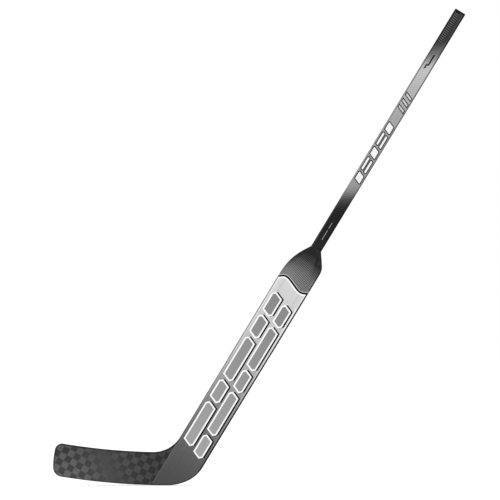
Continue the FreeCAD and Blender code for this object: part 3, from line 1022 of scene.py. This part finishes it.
def add_ripple(bm, left, right, width, bend, level_place):
    """One raised arc on the front face, at along 0. Its places are from the shaft's middle."""
    made = bmesh.ops.create_grid(bm, x_segments=ripple_steps, y_segments=1, size=0.5)["verts"]
    bmesh.ops.rotate(bm, verts=made, matrix=Matrix.Rotation(math.pi / 2, 3, "X"))
    bmesh.ops.scale(bm, vec=(right - left, 1, width), verts=made)
    bmesh.ops.translate(bm, vec=((left + right) / 2, 0, 0), verts=made)
    for vert in made:
        vert.co.z += bend * (vert.co.x - level_place) ** 2
    bmesh.ops.translate(bm, vec=(shaft_offset, -face_depth, 0), verts=made)
    grown = bmesh.ops.extrude_face_region(bm, geom=bm.faces[:])["geom"]
    bmesh.ops.translate(bm, vec=(0, -ripple_relief, 0), verts=only(bmesh.types.BMVert, grown))


def ripple_row(name, finish, first, pitch, count, **arc):
    """A row of equal arcs up the shaft, on the front and the back."""
    ripples = bmesh.new()
    add_ripple(ripples, **arc)
    one_arc = ripples.verts[:] + ripples.edges[:] + ripples.faces[:]
    for copy in range(1, count):
        copied = bmesh.ops.duplicate(ripples, geom=one_arc)["geom"]
        lifted = only(bmesh.types.BMVert, copied)
        bmesh.ops.translate(ripples, vec=(0, 0, copy * pitch), verts=lifted)
    bmesh.ops.translate(ripples, vec=(0, 0, first), verts=ripples.verts)
    copy_to_back(ripples)
    make_piece(ripples, name, "shaft_paint", finish)


def make_ripple_lacquer():
    finish, tree, place = start_finish("ripple_lacquer")
    across, _, along = directions(tree, place)
    tone = fade(
        tree, slant_along(tree, from_shaft_middle(tree, across), along),
        (0.675, 52), (0.740, 48), (0.775, 48), (0.803, 58), (0.820, 80), (0.845, 139), (0.860, 153),
    )
    end_ink(tree, place, tone)
    return finish


ripple_row(
    "shaft_ripple_grip", make_ripple_lacquer(), ripple_first, ripple_pitch, ripple_count,
    left=-face_half, right=face_half, width=ripple_width, bend=ripple_bend, level_place=-face_half,
)

# %% [markdown]
# At the butt the upper hand holds on to finer ripples, on the leading part of the face only. They
# fade out towards its middle, so their lacquer takes its tone from the across coordinate.

# %% Butt grip
butt_ripple_pitch = 0.0054
butt_ripple_count = 16
butt_ripple_width = 0.0026
butt_ripple_bend = 15.0
butt_ripple_level = -0.0005
butt_ripple_first = butt_grip_foot + butt_ripple_width / 2
butt_ripple_end = butt_grip_end_span[1]


def make_butt_lacquer():
    finish, tree, place = start_finish("butt_lacquer")
    from_middle = from_shaft_middle(tree, directions(tree, place)[0])
    tone = fade(
        tree, from_middle,
        (-face_half, 97), (-0.004, 99), (-0.001, 91), (0.002, 73), (butt_ripple_end, 60),
    )
    end_ink(tree, place, tone)
    return finish


ripple_row(
    "shaft_butt_grip", make_butt_lacquer(), butt_ripple_first, butt_ripple_pitch, butt_ripple_count,
    left=-face_half, right=butt_ripple_end, width=butt_ripple_width, bend=butt_ripple_bend,
    level_place=butt_ripple_level,
)

# %% [markdown]
# The stage is a large pale floor at ice level. The background has to be white without more light on
# the stick, so the floor asks the Light Path node what kind of ray sees it, and glows only for rays
# that show it to the camera. The glow is weak, so the floor still shows the stick's shadow.

# %% Floor
scene = bpy.context.scene
scene.view_settings.view_transform = "Standard"
floor_half = 30.0
floor_gap = 0.0005
floor_level = cad_box[0].z - floor_gap
floor_albedo = 0.85
floor_roughness = 0.9
floor_glow = 0.32


def seen_directly(tree):
    """1 for rays that show the background to the camera, straight or by way of gloss or glass."""
    path = add_node(tree, "ShaderNodeLightPath").outputs
    shown = calc(tree, "MAXIMUM", path["Is Camera Ray"], path["Is Glossy Ray"])
    return calc(tree, "MAXIMUM", shown, path["Is Transmission Ray"])


def make_floor_finish():
    finish = bpy.data.materials.new("floor")
    finish.use_nodes = True
    tree = finish.node_tree
    shader = tree.nodes["Principled BSDF"]
    shader.inputs["Base Color"].default_value = (floor_albedo, floor_albedo, floor_albedo, 1)
    shader.inputs["Roughness"].default_value = floor_roughness
    shader.inputs["Specular IOR Level"].default_value = 0.0
    shader.inputs["Emission Color"].default_value = (1, 1, 1, 1)
    glow = calc(tree, "MULTIPLY", seen_directly(tree), floor_glow)
    tree.links.new(glow, shader.inputs["Emission Strength"])
    return finish


def make_floor():
    bm = bmesh.new()
    bmesh.ops.create_grid(bm, x_segments=1, y_segments=1, size=floor_half)
    bmesh.ops.translate(bm, vec=(0, 0, floor_level), verts=bm.verts)
    mesh = bpy.data.meshes.new("floor")
    bm.to_mesh(mesh)
    bm.free()
    mesh.materials.append(make_floor_finish())
    floor = bpy.data.objects.new("floor", mesh)
    scene.collection.objects.link(floor)
    floor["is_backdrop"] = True


make_floor()
print("floor at", round(floor_level, 4), "m")

# %% [markdown]
# The room is a plain world of even light from all sides. It asks the same question as the floor: rays
# from the camera see white, and the rays that light the stick see a lower level, so a white background
# doesn't wash the dark paint out.

# %% Room
room_light = 0.62


def make_room():
    world = bpy.data.worlds.new("studio")
    world.use_nodes = True
    scene.world = world
    background = world.node_tree.nodes["Background"]
    background.inputs["Color"].default_value = (1, 1, 1, 1)
    level = mix_tone(world.node_tree, seen_directly(world.node_tree), room_light, 1.0)
    world.node_tree.links.new(level, background.inputs["Strength"])


make_room()
print("room light", room_light)

# %% [markdown]
# Two broad lamps light the stick, one from the front and one from behind, so that both faces show
# their colours. A sun lamp is even over the whole length of the stick, which a near lamp isn't, and a
# wide angle keeps its shadows soft.

# %% Lamps
lamp_softness = math.radians(50)


def add_lamp(name, toward_lamp, strength):
    """A broad lamp, so far away that its light is even over the whole stick."""
    lamp = bpy.data.lights.new(name, "SUN")
    lamp.energy = strength
    lamp.angle = lamp_softness
    lamp_object = bpy.data.objects.new(name, lamp)
    lamp_object.rotation_euler = Vector(toward_lamp).to_track_quat("Z", "Y").to_euler()
    scene.collection.objects.link(lamp_object)
    print(name, "strength", strength)


add_lamp("key_lamp", toward_lamp=(-0.55, -0.70, 0.60), strength=1.25)
add_lamp("back_lamp", toward_lamp=(0.50, 0.70, 0.60), strength=0.9)

# %% [markdown]
# The picture is taken straight on, from far away, so the stick shows almost no perspective. A very
# long lens does the same: the camera stands well back, and its lens is worked out from the width of
# the picture at the stick.

# %% Camera
picture_pixels = 500
metres_per_pixel = 0.002535
camera_distance = 25.0
picture_middle = Vector((-0.1943, 0, -0.0467))

camera_data = bpy.data.cameras.new("camera")
picture_width = picture_pixels * metres_per_pixel
camera_data.lens = camera_data.sensor_width * camera_distance / picture_width
camera_data.clip_end = 4 * camera_distance
camera_data.dof.use_dof = False
camera = bpy.data.objects.new("camera", camera_data)
camera.location = picture_middle - Vector((0, camera_distance, 0))
camera.rotation_euler = (math.pi / 2, 0, 0)
scene.collection.objects.link(camera)
scene.camera = camera
print("lens", round(camera_data.lens), "mm")

# %% [markdown]
# Last, the dressed stick is measured against the frame. The films and ripples stand at most 0.2 mm
# proud of the faces, so both boxes should agree to that.

# %% Measure and finish
visual_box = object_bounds()
boxes = {
    "cad": [list(corner) for corner in cad_box],
    "visual": [list(corner) for corner in visual_box],
}
print("frame box", boxes["cad"], "dressed box", boxes["visual"])
